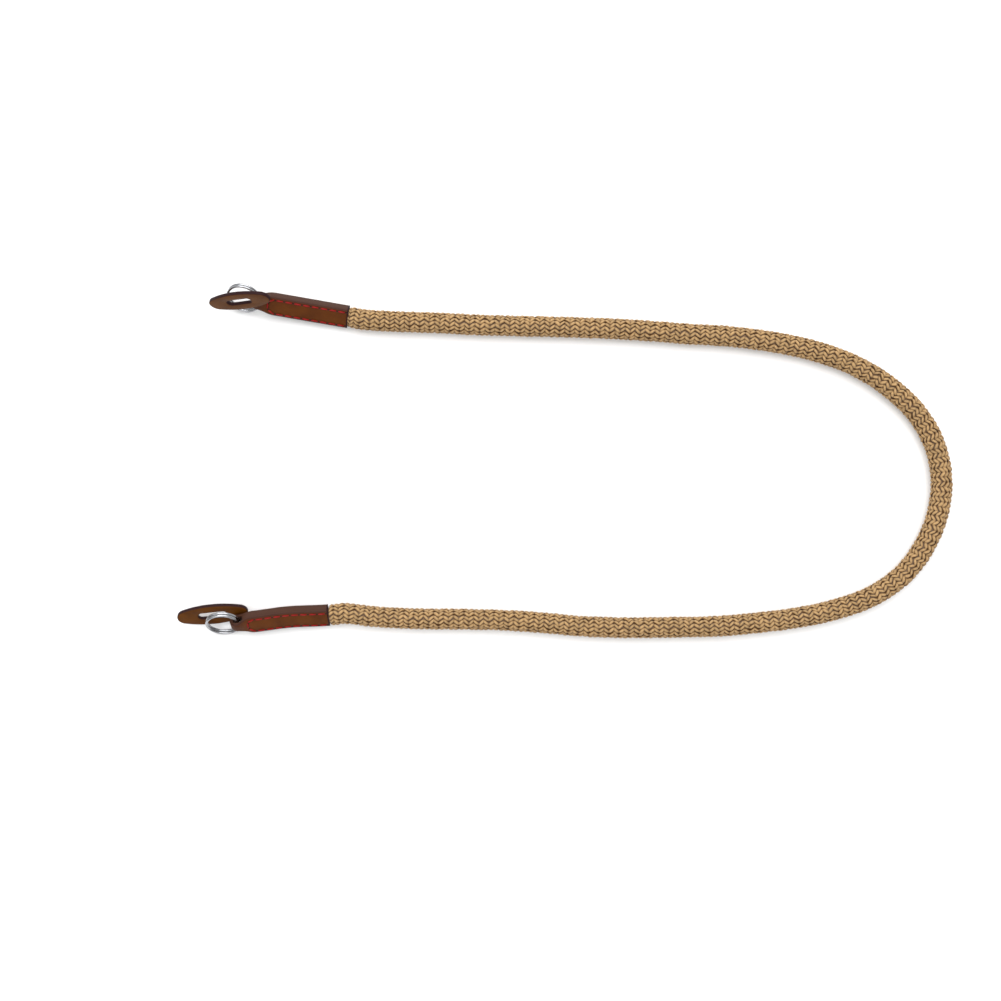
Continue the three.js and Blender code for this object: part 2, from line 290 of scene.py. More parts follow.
def strand_set(name, slant, seed):
    """Every visible pass of the strands that run one way round the rope, each a small closed pod."""
    chance = np.random.default_rng(seed)
    start, stop = TONGUE_REACH - 0.5 * BAND_LENGTH, rope_length - TONGUE_REACH + 0.5 * BAND_LENGTH
    bands = int((stop - start) / (2 * BAND_LENGTH))
    first_band = start + (0.5 if slant > 0 else 1.5) * BAND_LENGTH
    band, row = np.meshgrid(np.arange(bands), np.arange(STRANDS), indexing="ij")
    count = band.size
    wobble = chance.normal(0, 1, (count, 5))
    mid_distance = first_band + band.ravel() * 2 * BAND_LENGTH + wobble[:, 0] * STRAY_ALONG
    mid_angle = row.ravel() * 2 * math.pi / STRANDS + wobble[:, 1] * STRAY_ROUND
    height_shift = np.clip(wobble[:, 2], *STRAY_DEPTHS) * STRAY_OUTWARD
    width_share = 1 + wobble[:, 3] * STRAY_WIDTH
    lean = 1 + wobble[:, 4] * STRAY_LEAN

    half_turn = math.pi / STRANDS * slant
    surface = rest_height - STRAND_HALF_HEIGHT
    rise = 2 * surface * abs(half_turn) / BAND_LENGTH
    run = 1 / math.hypot(1, rise)
    across_run, across_turn = -slant * rise * run, run

    t = np.array((-1,) + PASS_STATIONS + (1,))
    taper = (1 - np.abs(t) ** TAPER_POWER) ** 0.5
    section = np.radians(SECTION_ANGLES)
    width = np.outer(taper, np.cos(section)) * STRAND_HALF_WIDTH
    dip = STRAND_DIP * np.abs(t) ** DIP_POWER
    height = np.outer(taper, np.sin(section)) * STRAND_HALF_HEIGHT - dip[:, None]
    rings = slice(1, -1)

    def pod_points(w, h, station):
        """Where these points of every pass lie: across it, up from its surface and along it."""
        reach = (station * PASS_OVERLAP)[None, :, None]
        w = w[None] * width_share[:, None, None]
        distance = mid_distance[:, None, None] + reach * BAND_LENGTH / 2 + w * across_run
        angle = mid_angle[:, None, None] + reach * half_turn * lean[:, None, None]
        angle = angle + w * across_turn / surface
        radius = surface + h[None] + height_shift[:, None, None]
        distance, angle, radius = np.broadcast_arrays(distance, angle, radius)
        place = rope_point(distance, angle, radius).reshape(count, -1, 3)
        place[..., 2] = np.maximum(place[..., 2], 0)
        return place

    body = pod_points(width[rings], height[rings], t[rings])
    tips = pod_points(width[[0, -1], :1], height[[0, -1], :1], t[[0, -1]])
    points = np.concatenate([body, tips], axis=1)
    each = points.shape[1]

    sides, ring_count = len(SECTION_ANGLES), len(PASS_STATIONS)
    pod = []
    for ring in range(ring_count - 1):
        for i in range(sides):
            j = (i + 1) % sides
            low, high = ring * sides, (ring + 1) * sides
            pod.append((low + i, high + i, high + j, low + j))
    last_ring = (ring_count - 1) * sides
    front, back = ring_count * sides, ring_count * sides + 1
    for i in range(sides):
        j = (i + 1) % sides
        pod.append((front, i, j))
        pod.append((back, last_ring + j, last_ring + i))
    if slant < 0:
        pod = [tuple(reversed(face)) for face in pod]
    faces = [tuple(corner + each * n for corner in face) for n in range(count) for face in pod]
    made = new_object(name, points.reshape(-1, 3), faces)
    made.data.shade_smooth()

    u = np.concatenate([np.repeat(t[rings], sides), [-1, 1]]) * FIBRE_LENGTH
    v = np.concatenate([np.tile(np.cos(section), ring_count), [0, 0]])
    flat = np.stack([u, v], axis=-1)[None] + chance.uniform(0, FIBRE_SPREAD, (count, 1, 2))
    corners = np.zeros(len(made.data.loops), dtype=np.int32)
    made.data.loops.foreach_get("vertex_index", corners)
    layer = made.data.uv_layers.new(name="fibre")
    layer.data.foreach_set("uv", flat.reshape(-1, 2)[corners].ravel())

    # The crown of each pass. Where it falls away, into the creases and at the ends, the yarn gets painted
    # shade.
    crown = np.concatenate([(taper[rings, None] * np.maximum(np.sin(section), 0)[None]).ravel(), [0, 0]])
    crown_layer = made.data.attributes.new("crown", "FLOAT", "POINT")
    crown_layer.data.foreach_set("value", np.tile(crown, count))
    tone_layer = made.data.attributes.new("tone", "FLOAT", "POINT")
    tone_layer.data.foreach_set("value", np.repeat(chance.uniform(0, 1, count), each))
    return made


def yarn_material():
    """Tan cotton yarn: fine fibres along each strand, painted shade in the creases and at the ends of each
    pass, uneven dye.
    """
    yarn = bpy.data.materials.new("tan_yarn")
    uv, stretch, fibre, crown, crease_shade, depth, tone, dye, shade, speckle, bump, shader = add_nodes(
        yarn, "UVMap", "Mapping", "TexNoise", "Attribute", "MapRange", "Mix", "Attribute", "MapRange",
        "Math", "Mix", "Bump",
    )
    link = yarn.node_tree.links.new
    uv.uv_map = "fibre"
    stretch.inputs["Scale"].default_value = (0.7, 5, 1)
    fibre.inputs["Scale"].default_value = 1.6
    fibre.inputs["Detail"].default_value = 3
    link(uv.outputs["UV"], stretch.inputs["Vector"])
    link(stretch.outputs["Vector"], fibre.inputs["Vector"])
    crown.attribute_name = "crown"
    crease_shade.inputs["From Min"].default_value = 0.22
    crease_shade.inputs["From Max"].default_value = 0.92
    link(crown.outputs["Fac"], crease_shade.inputs["Value"])
    # Painted shade: the yarn darkens from the crown of each pass down into the creases.
    depth.data_type = "RGBA"
    depth.inputs["A"].default_value = YARN_CREASE_SHADE
    depth.inputs["B"].default_value = YARN_LIGHT
    link(crease_shade.outputs["Result"], depth.inputs["Factor"])
    tone.attribute_name = "tone"
    dye.inputs["To Min"].default_value = 0.58
    dye.inputs["To Max"].default_value = 0.82
    link(tone.outputs["Fac"], dye.inputs["Value"])
    shade.operation = "MULTIPLY_ADD"
    shade.inputs[1].default_value = 0.5
    link(fibre.outputs["Fac"], shade.inputs[0])
    link(dye.outputs["Result"], shade.inputs[2])
    speckle.data_type = "RGBA"
    speckle.blend_type = "MULTIPLY"
    speckle.inputs["Factor"].default_value = 1
    link(depth.outputs["Result"], speckle.inputs["A"])
    link(shade.outputs["Value"], speckle.inputs["B"])
    link(speckle.outputs["Result"], shader.inputs["Base Color"])
    bump.inputs["Distance"].default_value = 0.00012
    bump.inputs["Strength"].default_value = 0.6
    link(fibre.outputs["Fac"], bump.inputs["Height"])
    link(bump.outputs["Normal"], shader.inputs["Normal"])
    shader.inputs["Roughness"].default_value = 0.82
    shader.inputs["Specular IOR Level"].default_value = 0.3
    shader.inputs["Sheen Weight"].default_value = 0.12
    shader.inputs["Sheen Roughness"].default_value = 0.5
    return yarn


rope_core, ring_centres = core_tube()
rope_core.data.shade_smooth()
# The filling's material, dark brown as painted shade in the gaps.
filling = bpy.data.materials.new("rope_filling")
lint, shader = add_nodes(filling, "TexNoise")
lint.inputs["Scale"].default_value = 3000
filling.node_tree.links.new(lint.outputs["Fac"], shader.inputs["Roughness"])
shader.inputs["Base Color"].default_value = CORE_SHADE_BROWN
rope_core.data.materials.append(filling)

yarn = yarn_material()
strands = [
    strand_set("strands_over_left", 1, ROPE_SEED),
    strand_set("strands_over_right", -1, ROPE_SEED + 1),
]
for piece in strands:
    piece.data.materials.append(yarn)
for piece in [rope_core] + strands:
    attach(piece, "root")
    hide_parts("braided_rope")

# Leather end covers. Two thick faces of brown cowhide with a filler between them, stitched along both
# long edges over the rope's flattened tongue. The leather runs on into a narrower loop, folded round
# the ring, and the cut edges are sealed with dark edge paint.
COVER_WIDTH = 0.0091
COVER_THICKNESS = 0.005
LOOP_WIDTH = 0.005
LOOP_THICKNESS = 0.0059
NECK_LENGTH = 0.010
CORNER_RADIUS = 0.0008
CORNER_SEGMENTS = 4
LEATHER_WALL = 0.00145
STITCH_MARGIN = 0.0014
TONGUE_DEPTH = 0.024
BORE_HEIGHT = 0.0031
BORE_LENGTH = 0.0044
BORE_SIDES = 40
HOLLOW_ROUNDING = 0.45
TIP_STEPS = 8
BODY_STEPS = 14
RIM_ROUNDING = 0.00022
RIM_SEGMENTS = 2
CUT_ANGLE = 50
COVER_SHADE_ANGLE = 32
NEAR_ZERO = 1e-6
NECK_SECTIONS = [
    {"along": 0.36, "broad": 0, "flat": 0, "turn": 1},
    {"along": 0.5, "broad": 0.3, "flat": 0.5, "turn": 0.9},
    {"along": 0.6, "broad": 0.58, "flat": 1.1, "turn": 0.7},
    {"along": 0.7, "broad": 0.81, "flat": 1.45, "turn": 0.45},
    {"along": 0.8, "broad": 0.94, "flat": 1.4, "turn": 0.22},
    {"along": 0.9, "broad": 0.99, "flat": 1.15, "turn": 0.07},
    {"along": 1, "broad": 1, "flat": 1, "turn": 0},
]
BOW_LENGTH = 0.034

# Edge paint: how far it comes round the mouth, and where the dark lines at the glue and at the corners
# begin and end, as shares of half the cover's thickness. The map of the faces is in millimetres.
MOUTH_PAINT = 0.00032
MOUTH_LINE = 0.0008
GLUE_LINE = (0, 0.05)
CORNER_LINE = (0.86, 0.66)
PAINT_AT_CUT = 1.1
MM = 1000

STITCH_INSET = 0.0004
STITCH_LINE = COVER_WIDTH / 2 - CORNER_RADIUS - STITCH_INSET
STITCH_ARC_CENTRE = -0.0313
GROOVE_HALF_WIDTH = 0.00055

HIDE_BROWN = (0.098, 0.027, 0.003, 1)
HIDE_DARK = (0.070, 0.018, 0.0022, 1)
EDGE_PAINT = (0.055, 0.023, 0.014, 1)
# Dark lines in the edge paint, and also the painted shade along the bottom of the stitch groove.
EDGE_LINE_AND_GROOVE_SHADE = (0.020, 0.006, 0.007, 1)


def cover_stations():
    """The cover's sections from the mouth back to the loop's tip: x, width, thickness and turn."""
    body_length = COVER_LENGTH - NECK_LENGTH
    rows = [(-body_length * i / BODY_STEPS, COVER_WIDTH, COVER_THICKNESS, 0) for i in range(BODY_STEPS)]
    for row in reversed(NECK_SECTIONS):
        width = LOOP_WIDTH + (COVER_WIDTH - LOOP_WIDTH) * row["broad"]
        thickness = LOOP_THICKNESS + (COVER_THICKNESS - LOOP_THICKNESS) * row["flat"]
        x = row["along"] * NECK_LENGTH - COVER_LENGTH
        rows.append((x, width, thickness, row["turn"] * LOOP_TWIST))
    tip_radius = LOOP_THICKNESS / 2
    for i in range(TIP_STEPS, 0, -1):
        angle = i / TIP_STEPS * math.pi / 2
        x = -COVER_LENGTH + tip_radius * (1 - math.cos(angle))
        width = LOOP_WIDTH - CORNER_RADIUS * math.cos(angle)
        rows.append((x, width, LOOP_THICKNESS * math.sin(angle), LOOP_TWIST))
    return rows


def edit(piece, mode="EDIT"):
    """Makes this the one selected piece, and goes into edit mode or out of it."""
    if bpy.context.object and bpy.context.object.mode == "EDIT":
        bpy.ops.object.mode_set(mode="OBJECT")
    bpy.ops.object.select_all(action="DESELECT")
    bpy.context.view_layer.objects.active = piece
    piece.select_set(True)
    bpy.ops.object.mode_set(mode=mode)


def finish_with(piece, kind, **settings):
    """Puts a modifier on the piece and applies it."""
    edit(piece, "OBJECT")
    modifier = piece.modifiers.new(kind.lower(), kind)
    for key, value in settings.items():
        setattr(modifier, key, value)
    bpy.ops.object.modifier_apply(modifier=modifier.name)


def round_edges(piece, width, segments, angle):
    """Rounds every edge that turns by more than the angle, in degrees."""
    limit = math.radians(angle)
    finish_with(piece, "BEVEL", width=width, segments=segments, limit_method="ANGLE", angle_limit=limit)


def shade_smooth(piece, angle):
    """Shades the piece smooth, except at edges that turn by more than the angle, in degrees."""
    edit(piece, "OBJECT")
    bpy.ops.object.shade_smooth_by_angle(angle=math.radians(angle))


def cut_out(piece, cutter):
    """Takes the cutter's shape out of the piece, and removes the cutter."""
    finish_with(piece, "BOOLEAN", object=cutter, operation="DIFFERENCE", solver="EXACT")
    bpy.data.objects.remove(cutter)


def rounded_block(name, length, width, thickness, radius):
    """A flat rounded section across X at x = 0, drawn out by length along X."""
    bpy.ops.mesh.primitive_plane_add(size=1, rotation=(0, math.pi / 2, 0))
    bpy.ops.object.transform_apply(location=True, rotation=True, scale=True)
    block = bpy.context.object
    block.name = name
    edit(block)
    bpy.ops.mesh.select_all(action="SELECT")
    bpy.ops.transform.resize(value=(1, width, thickness), center_override=(0, 0, 0))
    bpy.ops.mesh.bevel(offset=radius, affect="VERTICES", segments=CORNER_SEGMENTS)
    bpy.ops.mesh.extrude_region_move(TRANSFORM_OT_translate={"value": (length, 0, 0)})
    return block


def cover_mesh(name):
    """The leather of one cover, in its own frame."""
    rows = cover_stations()
    cover = rounded_block(name, rows[1][0], COVER_WIDTH, COVER_THICKNESS, CORNER_RADIUS)
    for before, row in zip(rows[1:], rows[2:]):
        old_x, old_width, old_thickness, old_turn = before
        x, width, thickness, turn = row
        here = (x, 0, 0)
        growth = (1, width / old_width, thickness / old_thickness)
        bpy.ops.mesh.extrude_region_move(TRANSFORM_OT_translate={"value": (x - old_x, 0, 0)})
        bpy.ops.transform.rotate(value=math.radians(old_turn), orient_axis="X", center_override=here)
        bpy.ops.transform.resize(value=growth, center_override=here)
        bpy.ops.transform.rotate(value=-math.radians(turn), orient_axis="X", center_override=here)
    bpy.ops.mesh.select_all(action="SELECT")
    bpy.ops.mesh.normals_make_consistent(inside=False)
    bpy.ops.object.mode_set(mode="OBJECT")

    wall = (LOOP_THICKNESS - BORE_HEIGHT) / 2
    depth = 2 * COVER_WIDTH
    bpy.ops.mesh.primitive_cylinder_add(vertices=BORE_SIDES, radius=BORE_HEIGHT / 2, depth=depth)
    bore = bpy.context.object
    edit(bore)
    for sign in (1, -1):
        bpy.ops.mesh.select_all(action="DESELECT")
        bpy.ops.object.mode_set(mode="OBJECT")
        for vertex in bore.data.vertices:
            vertex.select = vertex.co.x * sign > NEAR_ZERO
        bpy.ops.object.mode_set(mode="EDIT")
        bpy.ops.transform.translate(value=(sign * (BORE_LENGTH - BORE_HEIGHT) / 2, 0, 0))
    bpy.ops.object.mode_set(mode="OBJECT")
    bore_centre = (-COVER_LENGTH + wall + BORE_LENGTH / 2, 0, 0)
    bore.matrix_world = Matrix.Translation(bore_centre) @ turned(90 + LOOP_TWIST, 0, 0)
    cut_out(cover, bore)

    hollow_width = COVER_WIDTH - 2 * STITCH_MARGIN
    hollow_height = COVER_THICKNESS - 2 * LEATHER_WALL
    rounding = hollow_height * HOLLOW_ROUNDING
    hollow = rounded_block("hollow", -TONGUE_DEPTH, hollow_width, hollow_height, rounding)
    bpy.ops.mesh.select_all(action="SELECT")
    bpy.ops.mesh.normals_make_consistent(inside=False)
    bpy.ops.object.mode_set(mode="OBJECT")
    hollow.location.x = MOUTH_GAP / 2
    cut_out(cover, hollow)
    round_edges(cover, RIM_ROUNDING, RIM_SEGMENTS, CUT_ANGLE)
    return cover


def paint_share(depth):
    """How much edge paint lies at this depth from a cut, which is given in widths of its rounding."""
    return min(1, max(0, PAINT_AT_CUT - PAINT_AT_CUT * depth))


def mark_cover(cover):
    """Keeps on the mesh where the cut edges and the layers are, and a flat map of the faces in mm."""
    rows = sorted(cover_stations())
    xs, widths, thicknesses, turns = zip(*rows)
    paint = cover.data.attributes.new("paint", "FLOAT", "POINT")
    layer = cover.data.attributes.new("layer", "FLOAT", "POINT")
    flat = []
    for vertex in cover.data.vertices:
        x, y, z = vertex.co
        turn = math.radians(float(np.interp(x, xs, turns)))
        across = y * math.cos(turn) + z * math.sin(turn)
        height = z * math.cos(turn) - y * math.sin(turn)
        depth = (float(np.interp(x, xs, widths)) / 2 - abs(across)) / CORNER_RADIUS
        paint.data[vertex.index].value = paint_share(depth)
        thickness = max(COVER_THICKNESS, float(np.interp(x, xs, thicknesses)))
        layer.data[vertex.index].value = 2 * height / thickness
        flat.append((x * MM, across * MM))
    faces = cover.data.uv_layers.new(name="faces")
    for loop in cover.data.loops:
        faces.data[loop.index].uv = flat[loop.vertex_index]


def leather_material(name, light, dark, edge):
    """Waxed cowhide: fine pores and grain, uneven dye, dark sealed edges. Also its edge and bump nodes."""
    hide = bpy.data.materials.new(name)
    place, grain, pores, cloud, paint, dye, sealed, ridge, rough, height, bump, shader = add_nodes(
        hide, "TexCoord", "TexNoise", "TexVoronoi", "TexNoise", "Attribute", "Mix", "Mix", "MapRange",
        "MapRange", "Math", "Bump",
    )
    link = hide.node_tree.links.new
    for texture, scale in ((grain, 1500), (pores, 2100), (cloud, 170)):
        texture.inputs["Scale"].default_value = scale
        link(place.outputs["Object"], texture.inputs["Vector"])
    grain.inputs["Detail"].default_value = 6
    cloud.inputs["Detail"].default_value = 4
    dye.data_type = "RGBA"
    dye.inputs["A"].default_value = dark
    dye.inputs["B"].default_value = light
    ridge.inputs["From Min"].default_value = 0.3
    ridge.inputs["From Max"].default_value = 0.62
    link(cloud.outputs["Fac"], ridge.inputs["Value"])
    link(ridge.outputs["Result"], dye.inputs["Factor"])
    sealed.data_type = "RGBA"
    sealed.inputs["B"].default_value = edge
    paint.attribute_name = "paint"
    link(dye.outputs["Result"], sealed.inputs["A"])
    link(paint.outputs["Fac"], sealed.inputs["Factor"])
    link(sealed.outputs["Result"], shader.inputs["Base Color"])
    rough.inputs["To Min"].default_value = 0.4
    rough.inputs["To Max"].default_value = 0.62
    link(grain.outputs["Fac"], rough.inputs["Value"])
    link(rough.outputs["Result"], shader.inputs["Roughness"])
    height.operation = "ADD"
    link(grain.outputs["Fac"], height.inputs[0])
    link(pores.outputs["Distance"], height.inputs[1])
    bump.inputs["Distance"].default_value = 0.00006
    bump.inputs["Strength"].default_value = 0.5
    link(height.outputs["Value"], bump.inputs["Height"])
    link(bump.outputs["Normal"], shader.inputs["Normal"])
    shader.inputs["Specular IOR Level"].default_value = 0.10
    return hide, sealed, bump


def edge_lines(hide, sealed):
    """Adds dark lines to the paint: at the glue between layers, at the corners and round the mouth."""
    layer, size, past, gap, glue, corner, flat, split, inland = add_nodes(
        hide, "Attribute", "Math", "Math", "Math", "MapRange", "MapRange", "UVMap", "SeparateXYZ",
        "MapRange",
    )[:-1]
    lines, plain, colour, paint, lip, coat = add_nodes(
        hide, "Math", "Math", "Mix", "Attribute", "Math", "Math",
    )[:-1]
    link = hide.node_tree.links.new
    layer.attribute_name = "layer"
    size.operation = "ABSOLUTE"
    link(layer.outputs["Fac"], size.inputs[0])
    past.operation = "SUBTRACT"
    past.inputs[1].default_value = 1 - 2 * LEATHER_WALL / COVER_THICKNESS
    link(size.outputs["Value"], past.inputs[0])
    gap.operation = "ABSOLUTE"
    link(past.outputs["Value"], gap.inputs[0])
    for line, value, (low, high) in ((glue, gap, GLUE_LINE), (corner, size, CORNER_LINE)):
        line.interpolation_type = "SMOOTHSTEP"
        line.inputs["From Min"].default_value = low
        line.inputs["From Max"].default_value = high
        link(value.outputs["Value"], line.inputs["Value"])
    glue.inputs["To Min"].default_value = 0.45
    corner.inputs["To Min"].default_value = 0.35
    flat.uv_map = "faces"
    link(flat.outputs["UV"], split.inputs["Vector"])
    inland.interpolation_type = "SMOOTHSTEP"
    inland.inputs["From Min"].default_value = -MOUTH_PAINT * MM
    inland.inputs["From Max"].default_value = -MOUTH_LINE * MM
    link(split.outputs["X"], inland.inputs["Value"])
    for product, first_factor, second_factor in ((lines, glue, corner), (plain, lines, inland)):
        product.operation = "MULTIPLY"
        link(first_factor.outputs[0], product.inputs[0])
        link(second_factor.outputs[0], product.inputs[1])
    colour.data_type = "RGBA"
    colour.inputs["A"].default_value = EDGE_LINE_AND_GROOVE_SHADE
    colour.inputs["B"].default_value = EDGE_PAINT
    link(plain.outputs["Value"], colour.inputs["Factor"])
    link(colour.outputs["Result"], sealed.inputs["B"])
    paint.attribute_name = "paint"
    lip.operation = "SUBTRACT"
    lip.inputs[0].default_value = 1
    link(inland.outputs["Result"], lip.inputs[1])
    coat.operation = "MAXIMUM"
    link(paint.outputs["Fac"], coat.inputs[0])
    link(lip.outputs["Value"], coat.inputs[1])
    link(coat.outputs["Value"], sealed.inputs["Factor"])


def stitch_groove(hide, sealed, bump):
    """Adds the pressed line that the stitches lie in: two straight rows and the arc that joins them, with
    painted shade darkening its bottom.
    """
    flat, split, past, before, across, reach, off, away, line, groove_shade, press, shader = add_nodes(
        hide, "UVMap", "SeparateXYZ", "Math", "Math", "CombineXYZ", "VectorMath", "Math", "Math",
        "MapRange", "Mix", "Bump",
    )
    link = hide.node_tree.links.new
    flat.uv_map = "faces"
    link(flat.outputs["UV"], split.inputs["Vector"])
    past.operation = "SUBTRACT"
    past.inputs[1].default_value = STITCH_ARC_CENTRE * MM
    link(split.outputs["X"], past.inputs[0])
    before.operation = "MINIMUM"
    before.inputs[1].default_value = 0
    link(past.outputs["Value"], before.inputs[0])
    link(before.outputs["Value"], across.inputs["X"])
    link(split.outputs["Y"], across.inputs["Y"])
    reach.operation = "LENGTH"
    link(across.outputs["Vector"], reach.inputs[0])
    off.operation = "SUBTRACT"
    off.inputs[1].default_value = STITCH_LINE * MM
    link(reach.outputs["Value"], off.inputs[0])
    away.operation = "ABSOLUTE"
    link(off.outputs["Value"], away.inputs[0])
    line.interpolation_type = "SMOOTHSTEP"
    line.inputs["From Max"].default_value = GROOVE_HALF_WIDTH * MM
    link(away.outputs["Value"], line.inputs["Value"])
    # Painted shade: the groove darkens to near black along its middle, under and between the stitches.
    groove_shade.data_type = "RGBA"
    groove_shade.inputs["A"].default_value = EDGE_LINE_AND_GROOVE_SHADE
    link(line.outputs["Result"], groove_shade.inputs["Factor"])
    link(sealed.outputs["Result"], groove_shade.inputs["B"])
    press.inputs["Distance"].default_value = 0.00035
    press.inputs["Strength"].default_value = 1
    link(line.outputs["Result"], press.inputs["Height"])
    link(bump.outputs["Normal"], press.inputs["Normal"])
    link(groove_shade.outputs["Result"], shader.inputs["Base Color"])
    link(press.outputs["Normal"], shader.inputs["Normal"])


def bow(piece, amount):
    """The leather gives a little edgeways between its mouth and its loop, and the stitches with it."""
    for vertex in piece.data.vertices:
        share = min(1, max(0, -vertex.co.x / BOW_LENGTH))
        vertex.co.y += amount * math.sin(math.pi * share) ** 2


def put_in_place(piece, place):
    """Moves the piece's mesh to where it lies on the strap."""
    edit(piece, "OBJECT")
    piece.matrix_world = place
    bpy.ops.object.transform_apply(location=True, rotation=True, scale=True)


cover_hide, sealed, grain_bump = leather_material("cover_leather", HIDE_BROWN, HIDE_DARK, EDGE_PAINT)
edge_lines(cover_hide, sealed)
stitch_groove(cover_hide, sealed, grain_bump)
covers = {}
for side, end in ENDS.items():
    cover = cover_mesh("cover_" + side)
    mark_cover(cover)
    cover.data.materials.append(cover_hide)
    shade_smooth(cover, COVER_SHADE_ANGLE)
    covers[side] = BVHTree.FromObject(cover, bpy.context.evaluated_depsgraph_get())
    bow(cover, end["bow"])
    put_in_place(cover, cover_place(end))
    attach(cover, "root")
    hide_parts("end_cover_" + side)

# Stitching. Thick waxed red thread, in short stitches along both edges of each face and round the front
# of the rope's tongue. It goes through the whole cover, so both faces have the same stitches.
STITCH_LENGTH = 0.0031
STITCH_GAP = 0.0007
THREAD_DIAMETER = 0.00072
THREAD_SIDES = 10
THREAD_RINGS = 8
THREAD_BED = 0.000072
THREAD_DIVE = 0.000216
STITCH_START = -0.0012
ARC_STITCHES = 3

THREAD_RED = (0.37, 0.005, 0.006, 1)
# Painted shade: the thread's colour in the grooves between its twisted plies.
THREAD_PLY_SHADE = (0.19, 0.003, 0.004, 1)


def one_stitch():
    """One stitch along X: a short length of thread whose ends go down into their holes."""
    bpy.ops.mesh.primitive_uv_sphere_add(
        segments=THREAD_SIDES, ring_count=THREAD_RINGS, radius=THREAD_DIAMETER / 2,
    )
    stitch = bpy.context.object
    straight = (STITCH_LENGTH - THREAD_DIAMETER) / 2
    tip = straight + THREAD_DIAMETER / 4
    for sign in (1, -1):
        for beyond, shift in ((0, (sign * straight, 0, -THREAD_BED)), (tip, (0, 0, -THREAD_DIVE))):
            edit(stitch)
            bpy.ops.mesh.select_all(action="DESELECT")
            bpy.ops.object.mode_set(mode="OBJECT")
            for vertex in stitch.data.vertices:
                vertex.select = vertex.co.x * sign > beyond
            bpy.ops.object.mode_set(mode="EDIT")
            bpy.ops.transform.translate(value=shift)
    bpy.ops.object.mode_set(mode="OBJECT")
    stitch.data.materials.append(thread)
    stitch.data.shade_smooth()
    return stitch


def stitch_places():
    """Middle and heading of every stitch on one face, in the cover's frame."""
    pitch = STITCH_LENGTH + STITCH_GAP
    places = []
    x = STITCH_START - STITCH_LENGTH / 2
    while x - STITCH_LENGTH / 2 > STITCH_ARC_CENTRE - STITCH_GAP:
        for sign in (1, -1):
            places.append((x, sign * STITCH_LINE, 0))
        x -= pitch
    for i in range(ARC_STITCHES):
        angle = math.pi / 2 + math.pi * (i + 0.5) / ARC_STITCHES
        where = (STITCH_ARC_CENTRE + STITCH_LINE * math.cos(angle), STITCH_LINE * math.sin(angle))
        places.append((*where, angle + math.pi / 2))
    return places


thread = bpy.data.materials.new("red_thread")
uv, ply, ply_shade, bump, shader = add_nodes(thread, "TexCoord", "TexWave", "Mix", "Bump")
link = thread.node_tree.links.new
ply.bands_direction = "DIAGONAL"
ply.inputs["Scale"].default_value = 2.5
link(uv.outputs["UV"], ply.inputs["Vector"])
# Painted shade: the thread is darker in the low bands of the ply twist, the same bands that the bump
# presses in.
ply_shade.data_type = "RGBA"
ply_shade.inputs["A"].default_value = THREAD_PLY_SHADE
ply_shade.inputs["B"].default_value = THREAD_RED
link(ply.outputs["Fac"], ply_shade.inputs["Factor"])
link(ply_shade.outputs["Result"], shader.inputs["Base Color"])
bump.inputs["Distance"].default_value = 0.00008
link(ply.outputs["Fac"], bump.inputs["Height"])
link(bump.outputs["Normal"], shader.inputs["Normal"])
shader.inputs["Roughness"].default_value = 0.55
shader.inputs["Specular IOR Level"].default_value = 0.2

pattern = one_stitch()
for side, end in ENDS.items():
    row = []
    for x, y, heading in stitch_places():
        for face in (1, -1):
            down = Vector((0, 0, -face))
            hit = covers[side].ray_cast(Vector((x, y, face * COVER_WIDTH)), down)[0]
            stitch = bpy.data.objects.new("stitch", pattern.data.copy())
            bpy.context.scene.collection.objects.link(stitch)
            flip = 0 if face > 0 else 180
            turn = turned(flip, 0, math.degrees(heading))
            stitch.matrix_world = Matrix.Translation((x, y, hit.z)) @ turn
            row.append(stitch)
    bpy.ops.object.select_all(action="DESELECT")
    for stitch in row:
        stitch.select_set(True)
    bpy.context.view_layer.objects.active = row[0]
    bpy.ops.object.transform_apply(location=True, rotation=True, scale=True)
    bpy.ops.object.join()
    seam = row[0]
    seam.name = "stitching_" + side
    bow(seam, end["bow"])
    put_in_place(seam, cover_place(end))
    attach(seam, "root")
bpy.data.objects.remove(pattern)

# Split rings. Each is two flat turns of springy nickel-plated steel wire, pressed together, with a
# short step where the wire goes from one turn to the other. It passes through the cover's loop.
RING_DIAMETER = 0.0149
WIRE_DIAMETER = 0.0011
TURN_GAP = 0.0001
STEP_ANGLE = 36
ENDS_APART = 1.15
WIRE_ROUNDING = 0.000132
WIRE_SEGMENTS = 2
WIRE_CUT_ANGLE = 60
WIRE_SHADE_ANGLE = 40
RING_STEPS = 160
WIRE_SIDES = 16
RING_TURN = (51.8, -1)
STEEL_GREY = (0.37, 0.375, 0.39, 1)


